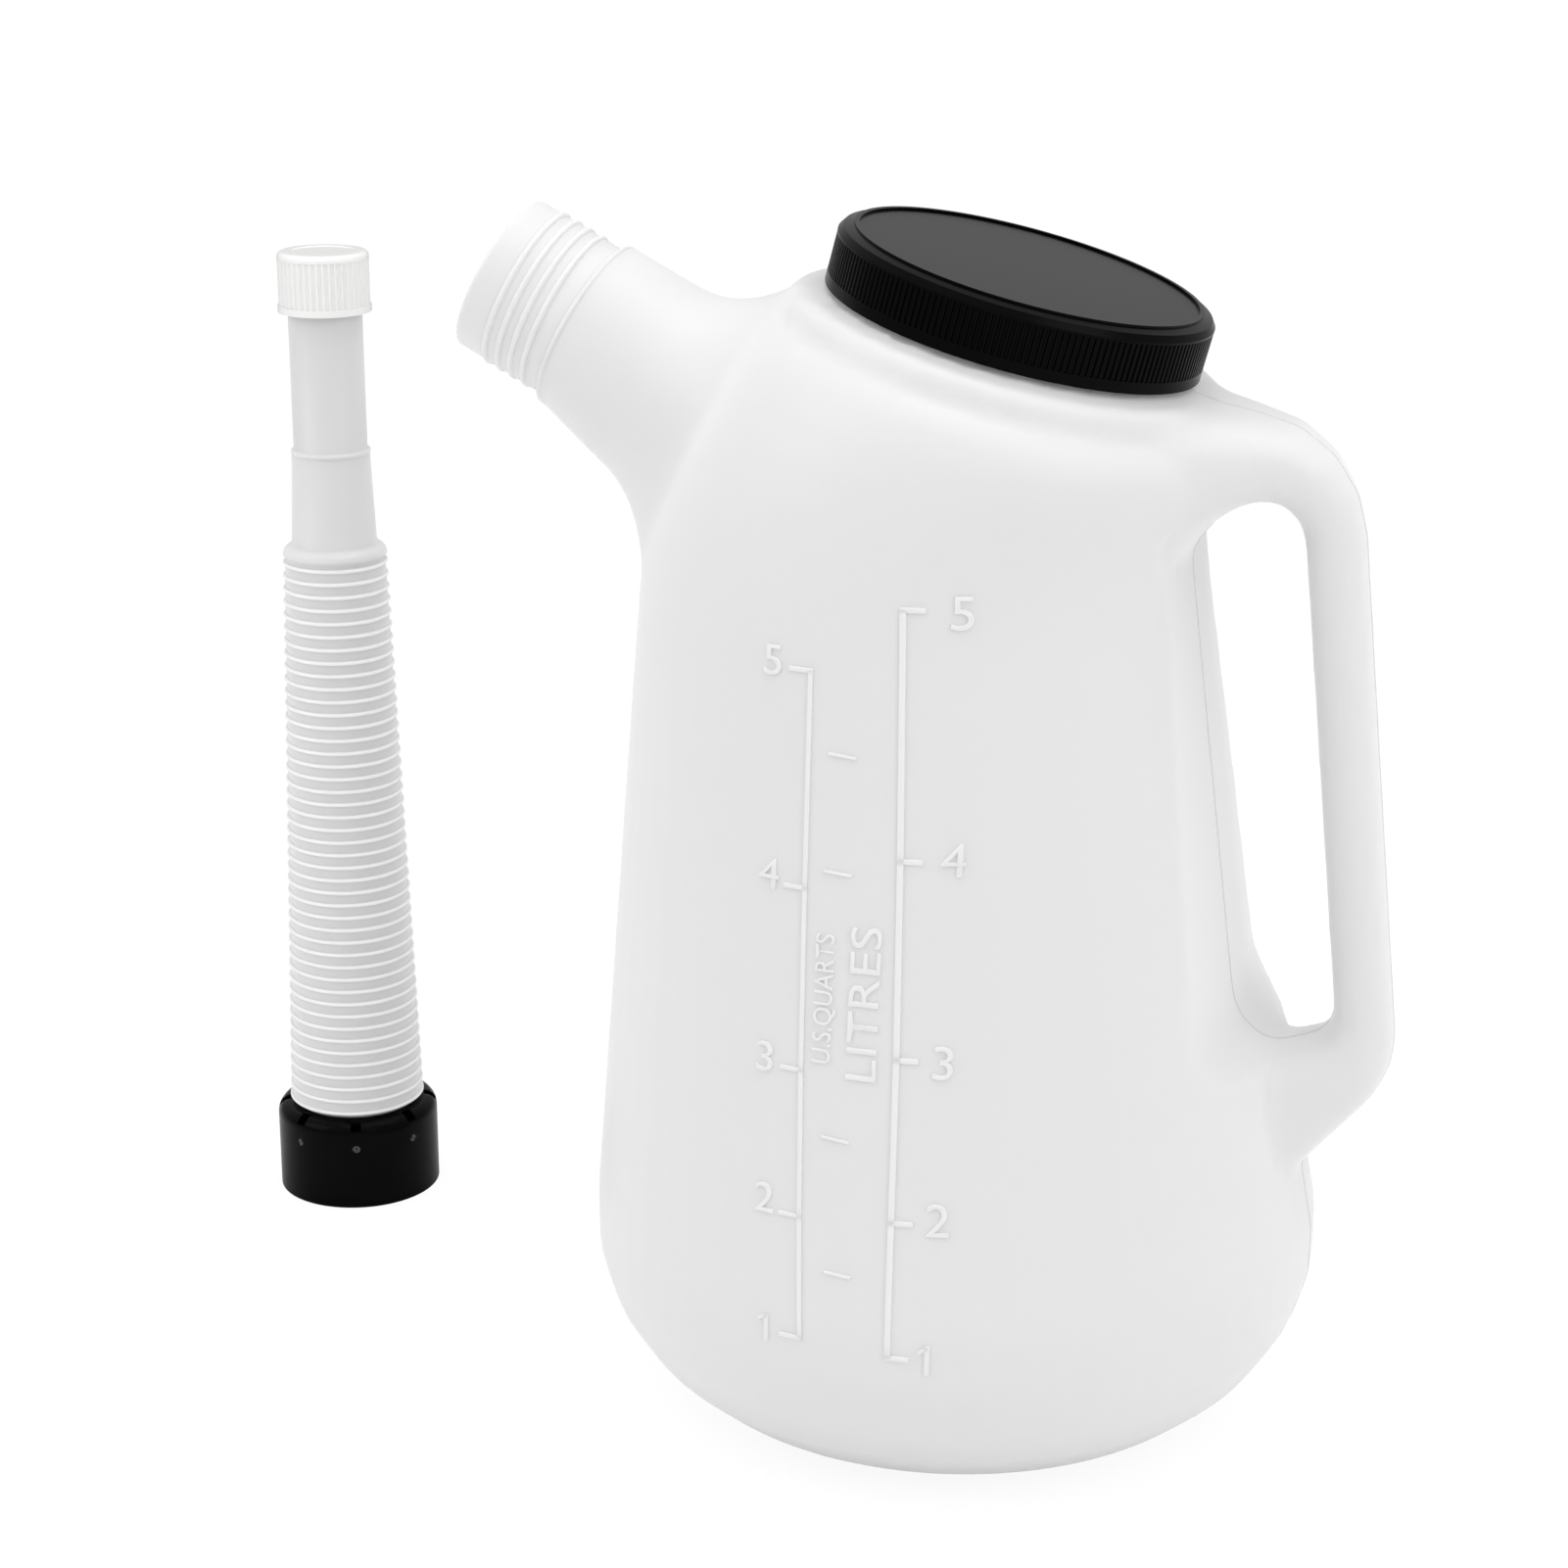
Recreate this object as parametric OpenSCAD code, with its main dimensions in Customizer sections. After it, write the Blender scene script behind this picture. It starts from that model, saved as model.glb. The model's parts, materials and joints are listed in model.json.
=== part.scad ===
// Five-litre oil fill jug with a screw lid, and its flexible pouring spout standing beside it.
// Origin: centre of the jug's base on the floor. +Z up, +X towards the handle, -X towards the neck.

/* [Body] */
// Widest outside diameter of the body
body_d = 196; // [184:1:206]
// Radius of the round edge between base and wall
base_edge_r = 50; // [30:1:58]
// Inward slope of the wall, in degrees
wall_taper = 7.7; // [6.5:0.1:8.5]
// Height at which the straight wall ends and the shoulder begins
shoulder_z = 226; // [218:1:234]
// Lean of the body towards the neck at that height
body_lean = 10; // [4:0.5:13]
// Wall thickness of the blow-moulded body
wall = 2; // [1.4:0.1:2.6]

/* [Mouth] */
// Distance of the mouth's centre from the middle of the base, towards the handle
mouth_x = 10.6; // [8:0.2:14]
// Height of the mouth's seat at its centre
mouth_z = 290.5; // [284:0.5:296]
// Tilt of the mouth towards the handle, in degrees
mouth_tilt = 14.6; // [12:0.2:17]
// Outside diameter of the mouth's neck
mouth_neck_d = 91; // [86:0.5:94]
// Width of the raised seat around that neck
seat_w = 11.5; // [10:0.25:13]
// Height of the seat's side above the shoulder
seat_rise = 8; // [6:0.5:10]
// Radius of the seat's rounded edge
seat_edge_r = 4; // [2:0.5:5]
// Height of the mouth's neck above the seat
mouth_neck_h = 14.2; // [12:0.2:17]

/* [Lid] */
// Gap between the seat and the lid's skirt
lid_gap = 2; // [1:0.1:3]
// Thickness of the lid's skirt, with its ribs
lid_wall = 2.5; // [1.8:0.1:3]
// Thread room between the mouth's neck and the lid's skirt
lid_clearance = 0.8; // [0.5:0.1:1.5]
// Thickness of the lid's top
lid_top_t = 2; // [1.5:0.1:3]
// Width of the sloped shoulder round the lid's top
lid_chamfer = 3.6; // [2:0.1:4.5]
// Height of that shoulder
lid_chamfer_h = 2.4; // [1.5:0.1:3]
// Height of the thin raised rim on the lid's top
lid_rim_h = 0.6; // [0.3:0.1:1]
// Number of ribs on the lid's skirt
lid_ribs = 184; // [120:4:200]
// Depth of the ribs on the lid's skirt
lid_rib_depth = 0.5; // [0.3:0.05:0.7]
// Height of the plain band under the ribs
lid_band_h = 3; // [2:0.1:4]
// Thickness of the sealing disc in the lid
lid_liner_t = 1.4; // [1:0.1:2]

/* [Pouring neck] */
// Distance of the neck's foot from the middle of the base
neck_x = 104; // [98:0.5:108]
// Height of the neck's foot
neck_z = 287.3; // [282:0.5:292]
// Rise of the neck above the horizontal, in degrees
neck_rise = 28; // [24:0.5:33]
// Outside diameter of the threaded neck, without its thread
neck_d = 43; // [41:0.2:44]
// Length of the threaded neck
neck_len = 26; // [22:0.5:30]
// Radius of the neck's rounded lip
neck_lip_r = 1.8; // [0.8:0.1:2]
// Diameter of the tube that carries the neck
tube_d = 47; // [46:0.5:50]
// Radius of the rounded step between neck and tube
tube_edge_r = 3; // [1.5:0.5:3.5]
// How much the tube's underside swells behind the step
tube_swell = 5.2; // [3:0.2:6.5]
// How much further the underside widens into the wall
root_flare = 37; // [32:0.5:40]
// How much the tube's sides widen into the wall
root_side_flare = 11; // [6:0.5:14]
// How much the tube's top widens into the seat
root_top_flare = 21; // [16:0.5:22]

/* [Handle] */
// Height at which the handle leaves the shoulder
arm_z = 260; // [256:0.5:261]
// Height of the handle's upper corner
grip_top_z = 263.5; // [260:0.5:266]
// Height of the handle's lower corner
grip_bottom_z = 108; // [100:1:118]
// Height at which the handle's lower end enters the wall
root_z = 86; // [80:1:92]
// Distance from the wall's line to the grip's middle at the upper corner
reach_top = 35.5; // [33:0.5:40]
// Distance from the wall to the grip's middle at the lower corner
reach_bottom = 22; // [20:0.2:27]
// Thickness of the grip, from palm to finger side
grip_t = 15; // [14:0.2:18]
// Width of the grip, across the jug
grip_w = 22.5; // [20:0.5:28]
// Bend radius of the upper corner, at the grip's middle
corner_top_r = 20; // [15:0.5:24]
// Bend radius of the lower corner, at the grip's middle
corner_bottom_r = 18; // [12:0.5:22]
// Extra thickness of the upper arm's top where it meets the shoulder
arm_flare = 14; // [9:0.5:14.5]
// Extra thickness of the upper arm's underside where it meets the wall
arm_under_flare = 52; // [40:1:56]
// Extra half width of the upper arm where it meets the shoulder
arm_side_flare = 34; // [24:1:36]
// Extra thickness of the lower arm's underside where it meets the wall
root_arm_flare = 18; // [14:0.5:20]
// Extra thickness of the lower arm's top where it meets the wall
root_top_arm_flare = 8; // [5:0.5:10]
// Extra half width of the lower arm where it meets the wall
root_arm_side_flare = 17; // [12:0.5:22]
// Depth of the flat behind the grip at its lower end
flat_depth = 11; // [8:0.2:12]
// Depth of the flat behind the grip at its upper end
flat_top_depth = 3; // [2:0.2:4.4]
// Radius between that flat and the handle's lower arm
flat_r = 16; // [13:0.5:18]

/* [Flexible spout] */
// Place of the spout, along X
spout_x = -210; // [-260:1:-190]
// Place of the spout, along Y
spout_y = 69; // [20:1:120]
// Outside diameter of the bellows at its foot
bellows_foot_d = 41.4; // [40:0.2:43]
// Outside diameter of the bellows at its head
bellows_head_d = 31; // [29:0.2:33]
// Length of the bellows
bellows_len = 174; // [150:1:200]
// Number of ridges on the bellows
ridges = 44; // [30:1:50]
// Depth of the grooves between the ridges
groove_depth = 0.9; // [0.6:0.1:1.6]
// Wall thickness of the spout
spout_wall = 1.2; // [0.9:0.05:1.5]
// Diameter of the nozzle at its foot
nozzle_foot_d = 25.2; // [24.4:0.2:26]
// Diameter of the nozzle's lower part just under its raised ring
nozzle_mid_d = 23; // [22.4:0.2:23.8]
// Diameter of the nozzle from that ring up to the cap
nozzle_tip_d = 21.6; // [20.8:0.2:22]
// Length of the nozzle, with the part inside the cap
nozzle_len = 84; // [70:1:95]
// Height of the nozzle's raised ring above its foot
ring_at = 28; // [18:1:40]
// How far that ring stands out from the nozzle's lower part
ring_out = 0.3; // [0.2:0.1:0.8]
// Thickness of the flange that the nut holds
flange_t = 2.4; // [1.6:0.1:3]

/* [Coupling nut] */
// Thread room between the jug's neck and the nut
nut_clearance = 1.1; // [1:0.1:1.4]
// Wall thickness of the nut
nut_wall = 2; // [1.8:0.1:3]
// Height of the nut
nut_h = 27.5; // [24:0.5:34]
// Thickness of the nut's inner lip
nut_lip_t = 3; // [2:0.1:4]
// Radius of the nut's rounded upper edge
nut_edge_r = 4; // [2.5:0.1:4.2]
// Number of notches round the upper edge
nut_notches = 8; // [6:1:12]
// Width of a notch
notch_w = 3.2; // [2:0.1:4]
// Running clearance between the nut's lip and the spout
nut_play = 0.3; // [0.2:0.05:0.5]

/* [Cap] */
// Height of the cap
cap_h = 17.5; // [14:0.5:22]
// Wall thickness of the cap, with its ribs
cap_wall = 1.9; // [1.7:0.1:2.6]
// Thread room between nozzle and cap
cap_clearance = 0.6; // [0.4:0.1:1]
// Thickness of the cap's top
cap_top_t = 1.6; // [1.2:0.1:2.4]
// Thickness of the sealing disc in the cap
cap_liner_t = 1.2; // [0.8:0.1:2]
// Number of ribs on the cap
cap_ribs = 44; // [32:2:60]
// Depth of the ribs on the cap
cap_rib_depth = 0.4; // [0.2:0.05:0.6]
// Height of the plain bead at the cap's foot
cap_bead_h = 2; // [1.5:0.1:3]

/* [Hidden] */
$fn = 96;
// Facets round the body, the neck's tube and the handle
body_sides = 60;
tube_sides = 32;
grip_sides = 20;
// Overlap that lets two shapes of one piece fuse
bite = 0.2;
// Overrun of a cut past the face that it opens
overrun = 1;

body_r = body_d / 2;
mouth_neck_r = mouth_neck_d / 2;
seat_r = mouth_neck_r + seat_w;
// Radius and middle of the tapered wall at height z
wall_foot_z = base_edge_r * (1 + sin(wall_taper));
wall_foot_r = body_r - base_edge_r * (1 - cos(wall_taper));
function wall_r(z) = wall_foot_r - (z - wall_foot_z) * tan(wall_taper);
function wall_cx(z) = -body_lean * (z - wall_foot_z) / (shoulder_z - wall_foot_z);
function wall_x(z) = wall_cx(z) + wall_r(z);

function smooth(u) = u * u * (3 - 2 * u);
function mix(a, b, u) = a + (b - a) * u;
function bezier(p, u) =
    pow(1 - u, 3) * p[0] + 3 * u * pow(1 - u, 2) * p[1] + 3 * u * u * (1 - u) * p[2] + pow(u, 3) * p[3];

// Closed solid through rings of points that all run the same way round
module loft(rings) {
    n = len(rings[0]);
    m = len(rings);
    sides = [
        for (i = [0 : m - 2], j = [0 : n - 1])
            let (a = i * n + j, b = i * n + (j + 1) % n)
            each [[a, a + n, b + n], [a, b + n, b]]
    ];
    foot = [for (j = [0 : n - 1]) j];
    head = [for (j = [n - 1 : -1 : 0]) (m - 1) * n + j];
    polyhedron(points = [for (ring = rings) each ring], faces = concat([foot], sides, [head]), convexity = 8);
}

// Profile of the body as stations: radius, height of the middle, place of the middle, tilt
base_steps = 6;
shoulder_steps = 7;
seat_fillet = 2.5;
seat_foot_r = seat_r + seat_fillet;
seat_foot_z = mouth_z - seat_rise;
// Pull of the shoulder's curve up the wall, and out and down from the seat's foot
shoulder_pull_up = 26;
shoulder_pull_out = 10;
shoulder_pull_down = 8;
shoulder_path = [
    [wall_r(shoulder_z), shoulder_z],
    [wall_r(shoulder_z + shoulder_pull_up), shoulder_z + shoulder_pull_up],
    [seat_foot_r + shoulder_pull_out, seat_foot_z - shoulder_pull_down],
    [seat_foot_r, seat_foot_z]
];
function base_station(a) =
    [body_r - base_edge_r * (1 - cos(a)), base_edge_r * (1 + sin(a)), 0, 0];
function shoulder_station(u) =
    let (p = bezier(shoulder_path, u))
    [p[0], p[1], mix(-body_lean, mouth_x - seat_rise * sin(mouth_tilt), smooth(u)), mouth_tilt * smooth(u)];
body_stations = concat(
    [for (i = [0 : base_steps]) base_station(mix(-90, wall_taper, i / base_steps))],
    [for (i = [0 : shoulder_steps]) shoulder_station(i / shoulder_steps)]
);

// A station moved inwards, square to the profile, by the thickness t; the end stations mostly move along Z
end_share = 0.4;
function inset(s, i, t) =
    let (
        last = len(s) - 1,
        dr = s[min(i + 1, last)][0] - s[max(i - 1, 0)][0],
        dz = s[min(i + 1, last)][1] - s[max(i - 1, 0)][1],
        flat = i == 0 || i == last,
        len = norm([dr, dz]),
        up = i == last ? 1 : i == 0 ? -1 : -dr / len
    )
    [s[i][0] - t * (flat ? end_share : dz / len), s[i][1] - t * up, s[i][2], s[i][3]];
function station_ring(s) = [
    for (k = [0 : body_sides - 1])
        let (a = 360 * k / body_sides)
        [s[2] + s[0] * cos(a) * cos(s[3]), s[0] * sin(a), s[1] - s[0] * cos(a) * sin(s[3])]
];

// Body without neck and handle, made smaller all round by t
module body_form(t) {
    difference() {
        loft([for (i = [0 : len(body_stations) - 1]) station_ring(inset(body_stations, i, t))]);
        finger_flat(t);
    }
}

// Two flats on the wall behind the grip, which meet in the parting line, lean back a little from it
// and end in a round towards the handle's lower arm
flat_draft = 3.2;
flat_above_grip = 15.5;
flat_below_grip = 15;
flat_low_z = grip_bottom_z + flat_above_grip;
flat_high_z = grip_top_z - flat_below_grip;
flat_room = 60;
module finger_flat(t) {
    low_x = wall_x(flat_low_z) - flat_depth - t;
    high_x = wall_x(flat_high_z) - flat_top_depth - t;
    round_r = flat_r + t;
    for (side = [-1, 1])
        translate([low_x, 0, 0]) rotate([0, 0, side * flat_draft]) rotate([90, 0, 0])
            linear_extrude(body_d, center = true) polygon(concat(
                [[high_x - low_x, flat_high_z + t]],
                [for (a = [180 : 15 : 270]) [round_r * (1 + cos(a)), flat_low_z + round_r * sin(a)]],
                [[flat_room, flat_low_z - round_r], [flat_room, flat_high_z + t]]
            ));
}

// Seat and neck of the mouth, one turned form, made smaller all round by t
module mouth_form(t) {
    rotate_extrude() polygon(concat(
        [[0, -seat_rise - wall - t], [seat_r - t, -seat_rise - wall - t]],
        [for (a = [0 : 15 : 90]) [seat_r - t - seat_edge_r * (1 - cos(a)), -t - seat_edge_r * (1 - sin(a))]],
        [[mouth_neck_r - t, -t], [mouth_neck_r - t, mouth_neck_h + t], [0, mouth_neck_h + t]]
    ));
}

// Frames of the mouth and of the pouring neck, each with its axis as Z
module at_mouth() {
    translate([mouth_x, 0, mouth_z]) rotate([0, mouth_tilt, 0]) children();
}
module at_neck() {
    translate([-neck_x, 0, neck_z]) rotate([0, neck_rise - 90, 0]) children();
}

// Tube that widens from the neck's foot into the wall, made smaller all round by t
tube_r = tube_d / 2;
neck_r = neck_d / 2;
tube_straight = 5;
swell_len = 25;
low_flare_from = 20;
top_flare_from = 26;
flare_end = 55;
tube_in_body = 7;
top_end = 50;
tube_steps = 9;
// The widening part is this much fatter than the round tube that runs into it
tube_seam = 0.3;
// How sharply the top, underside and sides bend outwards
top_bend = 1.7;
low_bend = 2.2;
side_bend = 1.8;
function share(s, a, b) = max(0, min(1, (s - a) / (b - a)));
function tube_ring(s, r, top, low, side) = [
    for (k = [0 : tube_sides - 1])
        let (a = 360 * k / tube_sides, x = cos(a))
        [(r + (x > 0 ? top : low)) * x, -(r + side) * sin(a), -s]
];
function flare_ring(s, t) = tube_ring(
    s,
    tube_r + tube_seam - t,
    root_top_flare * pow(share(s, top_flare_from, top_end), top_bend),
    tube_swell * smooth(share(s, 0, swell_len))
    + root_flare * pow(share(s, low_flare_from, flare_end), low_bend),
    root_side_flare * pow(share(s, tube_straight, flare_end), side_bend)
);
module tube_root(t) {
    at_neck() loft(concat(
        [for (i = [0 : tube_steps]) flare_ring(mix(tube_straight, flare_end, i / tube_steps), t)],
        [tube_ring(flare_end + tube_in_body, tube_r - t, root_top_flare / 2, root_flare, root_side_flare)]
    ));
}
// Round tube, step and threaded neck, one turned form
module neck_outside() {
    rotate_extrude() polygon(concat(
        [[0, -tube_straight - overrun], [tube_r, -tube_straight - overrun]],
        [for (a = [0 : 15 : 75]) [tube_r - tube_edge_r * (1 - cos(a)), -tube_edge_r * (1 - sin(a))]],
        [[neck_r, 0]],
        [for (a = [0 : 15 : 90]) [neck_r - neck_lip_r * (1 - cos(a)), neck_len - neck_lip_r * (1 - sin(a))]],
        [[0, neck_len]]
    ));
}
module neck_inside() {
    rotate_extrude() polygon([
        [0, -tube_straight - overrun],
        [tube_r - wall, -tube_straight - overrun],
        [tube_r - wall, -2 * wall],
        [neck_r - wall, -wall],
        [neck_r - wall, neck_len + overrun],
        [0, neck_len + overrun]
    ]);
}

// Middle line of the handle: shoulder, upper corner, lower corner, wall
arm_in_seat = 24;
root_in_wall = 21;
arm_start = [mouth_x + seat_r - arm_in_seat, arm_z];
corner_top = [wall_x(grip_top_z) + reach_top, grip_top_z];
corner_bottom = [wall_x(grip_bottom_z) + reach_bottom, grip_bottom_z];
root_end = [wall_x(root_z) - root_in_wall, root_z];
function heading(p, q) = atan2(q[1] - p[1], q[0] - p[0]);
arm_angle = heading(arm_start, corner_top);
grip_angle = heading(corner_top, corner_bottom);
root_angle = heading(corner_bottom, root_end) - (heading(corner_bottom, root_end) > 0 ? 360 : 0);
turn_top = arm_angle - grip_angle;
turn_bottom = grip_angle - root_angle;
cut_top = corner_top_r * tan(turn_top / 2);
cut_bottom = corner_bottom_r * tan(turn_bottom / 2);
arm_len = norm(corner_top - arm_start) - cut_top;
grip_len = norm(corner_bottom - corner_top) - cut_top - cut_bottom;
root_len = norm(root_end - corner_bottom) - cut_bottom;
bend_top_len = corner_top_r * turn_top * PI / 180;
bend_bottom_len = corner_bottom_r * turn_bottom * PI / 180;
path_ends = [
    arm_len,
    arm_len + bend_top_len,
    arm_len + bend_top_len + grip_len,
    arm_len + bend_top_len + grip_len + bend_bottom_len,
    arm_len + bend_top_len + grip_len + bend_bottom_len + root_len
];
path_len = path_ends[4];
function ray(a) = [cos(a), sin(a)];
bend_top_start = corner_top - cut_top * ray(arm_angle);
bend_bottom_start = corner_bottom - cut_bottom * ray(grip_angle);
// A point of an arc that turns clockwise from the heading a
function arc_point(start, a, r, turn) = start + r * (ray(a - 90) + ray(a - turn + 90));
// Place and heading at the distance s along the handle
function on_path(s) =
    s < path_ends[0] ? [arm_start + s * ray(arm_angle), arm_angle]
    : s < path_ends[1] ?
        let (turn = (s - path_ends[0]) / corner_top_r * 180 / PI)
        [arc_point(bend_top_start, arm_angle, corner_top_r, turn), arm_angle - turn]
    : s < path_ends[2] ?
        [corner_top + (cut_top + s - path_ends[1]) * ray(grip_angle), grip_angle]
    : s < path_ends[3] ?
        let (turn = (s - path_ends[2]) / corner_bottom_r * 180 / PI)
        [arc_point(bend_bottom_start, grip_angle, corner_bottom_r, turn), grip_angle - turn]
    : [corner_bottom + (cut_bottom + s - path_ends[3]) * ray(root_angle), root_angle];

// Thickness to the outside and to the inside of the middle line, and half width, at the distance s
arm_flare_len = 58;
root_flare_len = 52;
function arm_share(s) = max(0, 1 - s / arm_flare_len);
function root_share(s) = max(0, 1 - (path_len - s) / root_flare_len);
arm_bend = 1.4;
arm_under_bend = 4.6;
arm_side_bend = 1.5;
root_side_bend = 1.4;
function outer_t(s) =
    grip_t / 2 + arm_flare * pow(arm_share(s), arm_bend) + root_arm_flare * root_share(s);
function inner_t(s) =
    grip_t / 2 + arm_under_flare * pow(arm_share(s), arm_under_bend) + root_top_arm_flare * root_share(s);
function half_w(s) =
    grip_w / 2 + arm_side_flare * pow(arm_share(s), arm_side_bend)
    + root_arm_side_flare * pow(root_share(s), root_side_bend);
// Flattens an ellipse into a rounded rectangle, most of all on top where the arm meets the shoulder
grip_square = 0.75;
arm_square = 0.45;
function squareness(s, outside) = outside ? mix(grip_square, arm_square, arm_share(s)) : grip_square;
function squared(v, power) = sign(v) * pow(abs(v), power);
function handle_ring(s, t) =
    let (p = on_path(s), out = ray(p[1] + 90))
    [
        for (k = [0 : grip_sides - 1])
            let (
                a = 360 * k / grip_sides,
                outside = cos(a) > 0,
                power = squareness(s, outside),
                d = ((outside ? outer_t(s) : inner_t(s)) - t) * squared(cos(a), power),
                w = (half_w(s) - t) * squared(sin(a), power)
            )
            [p[0][0] + d * out[0], -w, p[0][1] + d * out[1]]
    ];
arm_steps = 6;
bend_steps = 4;
root_steps = 4;
grip_steps = 1;
function steps_between(a, b, n) = [for (i = [0 : n - 1]) mix(a, b, i / n)];
handle_stops = concat(
    steps_between(0, path_ends[0], arm_steps),
    steps_between(path_ends[0], path_ends[1], bend_steps),
    steps_between(path_ends[1], path_ends[2], grip_steps),
    steps_between(path_ends[2], path_ends[3], bend_steps),
    steps_between(path_ends[3], path_ends[4], root_steps),
    [path_len]
);
module handle_form(t) {
    loft([for (s = handle_stops) handle_ring(s, t)]);
}

// Jug
module jug_body() {
    color("whitesmoke") difference() {
        union() {
            body_form(0);
            tube_root(0);
            handle_form(0);
            at_neck() neck_outside();
            at_mouth() mouth_form(0);
        }
        body_form(wall);
        tube_root(wall);
        handle_form(wall);
        at_neck() neck_inside();
        at_mouth() mouth_form(wall);
    }
}

// Ring of straight ribs, from the radius inner to the radius outer; the corners of a rib's outline
// are given as shares of the pitch
rib_rise = -0.3;
rib_crest = 0.1;
rib_fall = 0.25;
rib_foot = 0.55;
module ribbed_ring(inner, outer, depth, count, h) {
    pitch = 360 / count;
    linear_extrude(h) difference() {
        polygon([
            for (
                i = [0 : count - 1],
                c = [
                    [rib_rise, outer],
                    [rib_crest, outer],
                    [rib_fall, outer - depth],
                    [rib_foot, outer - depth]
                ]
            )
                c[1] * [cos((i + c[0]) * pitch), sin((i + c[0]) * pitch)]
        ]);
        circle(r = inner);
    }
}

// Lid, in the frame of the mouth
lid_bore_r = mouth_neck_r + lid_clearance;
lid_r = lid_bore_r + lid_wall;
lid_z = lid_gap;
lid_under_z = mouth_neck_h + lid_liner_t;
lid_top_z = lid_under_z + lid_top_t;
lid_shoulder_z = lid_top_z - lid_chamfer_h;
lid_rim_w = 1.2;
lid_core_r = lid_r - lid_rib_depth;
// Plain line above the ribs, and the bow of the sloped shoulder as shares of its width and height
lid_line_h = 0.6;
lid_rib_top_z = lid_shoulder_z - lid_line_h;
bow_w = 0.3;
bow_h = 0.65;
// Ribs are rooted this deep in the skirt and stay this far below its bands
rib_root = 0.6;
rib_shy = 0.05;
module jug_lid() {
    color("#161616") at_mouth() {
        rotate_extrude() polygon([
            [0, lid_under_z],
            [lid_bore_r, lid_under_z],
            [lid_bore_r, lid_z],
            [lid_r, lid_z],
            [lid_r, lid_z + lid_band_h],
            [lid_core_r, lid_z + lid_band_h],
            [lid_core_r, lid_rib_top_z],
            [lid_r, lid_rib_top_z],
            [lid_r, lid_shoulder_z],
            [lid_r - bow_w * lid_chamfer, lid_shoulder_z + bow_h * lid_chamfer_h],
            [lid_r - lid_chamfer, lid_top_z],
            [lid_r - lid_chamfer, lid_top_z + lid_rim_h],
            [lid_r - lid_chamfer - lid_rim_w, lid_top_z + lid_rim_h],
            [lid_r - lid_chamfer - lid_rim_w, lid_top_z],
            [0, lid_top_z]
        ]);
        translate([0, 0, lid_z + lid_band_h - bite])
            ribbed_ring(lid_core_r - rib_root, lid_r - rib_shy, lid_rib_depth, lid_ribs,
                        lid_rib_top_z - lid_z - lid_band_h + 2 * bite);
    }
}
liner_room = 0.4;
module lid_liner() {
    color("gainsboro") at_mouth()
        translate([0, 0, mouth_neck_h]) cylinder(r = lid_bore_r - liner_room, h = lid_liner_t);
}

// Flexible spout, standing on its nut
module at_spout() {
    translate([spout_x, spout_y, 0]) children();
}
nut_bore_r = neck_r + nut_clearance;
nut_r = nut_bore_r + nut_wall;
flange_r = nut_bore_r - nut_play;
lip_under_z = nut_h - nut_lip_t;
flange_z = lip_under_z - nut_play - flange_t;
bellows_z = nut_h + nut_play;
bellows_top_z = bellows_z + bellows_len;
// The bellows ends in a round that runs up to the nozzle
head_round = (bellows_head_d - nozzle_foot_d) / 2;
nozzle_z = bellows_top_z + head_round;
nozzle_top_z = nozzle_z + nozzle_len;
nozzle_foot_r = nozzle_foot_d / 2;
nozzle_mid_r = nozzle_mid_d / 2;
nozzle_tip_r = nozzle_tip_d / 2;
waist_depth = 2.6;
waist_r = bellows_foot_d / 2 - waist_depth;
// Points of a ridge's curve, and those left out where the inside meets the waist
ridge_points = 6;
inside_start = 3;
bellows_count = ridges * ridge_points;
function bellows_r(u) = mix(bellows_foot_d, bellows_head_d, u) / 2;
// Round ridges with narrow grooves between them
function bellows_point(i, inside) =
    let (u = i / bellows_count, swell = abs(sin(180 * i / ridge_points)))
    [bellows_r(u) - groove_depth * (1 - swell) - inside, bellows_z + bellows_len * u];
ring_z = nozzle_z + ring_at;
ring_half_h = 0.6;
ring_foot = 2 * ring_half_h;
module flexible_spout() {
    outside = concat(
        [
            [flange_r, flange_z],
            [flange_r, flange_z + flange_t],
            [waist_r, flange_z + flange_t],
            [waist_r, bellows_z]
        ],
        [for (i = [1 : bellows_count - 2]) bellows_point(i, 0)],
        [
            for (a = [0 : 15 : 90])
                [bellows_head_d / 2 - head_round * (1 - cos(a)), bellows_top_z + head_round * sin(a)]
        ],
        [
            [nozzle_mid_r, ring_z - ring_foot],
            [nozzle_mid_r + ring_out, ring_z - ring_half_h],
            [nozzle_mid_r + ring_out, ring_z + ring_half_h],
            [nozzle_tip_r, ring_z + ring_foot],
            [nozzle_tip_r, nozzle_top_z]
        ]
    );
    inside = concat(
        [
            [nozzle_tip_r - spout_wall, nozzle_top_z],
            [nozzle_tip_r - spout_wall, ring_z + ring_foot],
            [nozzle_mid_r - spout_wall, ring_z - ring_foot],
            [nozzle_foot_r - spout_wall, nozzle_z]
        ],
        [for (i = [bellows_count - 2 : -1 : inside_start]) bellows_point(i, spout_wall)],
        [[waist_r - spout_wall, bellows_z], [waist_r - spout_wall, flange_z]]
    );
    color("gainsboro") at_spout() rotate_extrude() polygon(concat(outside, inside));
}

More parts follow.
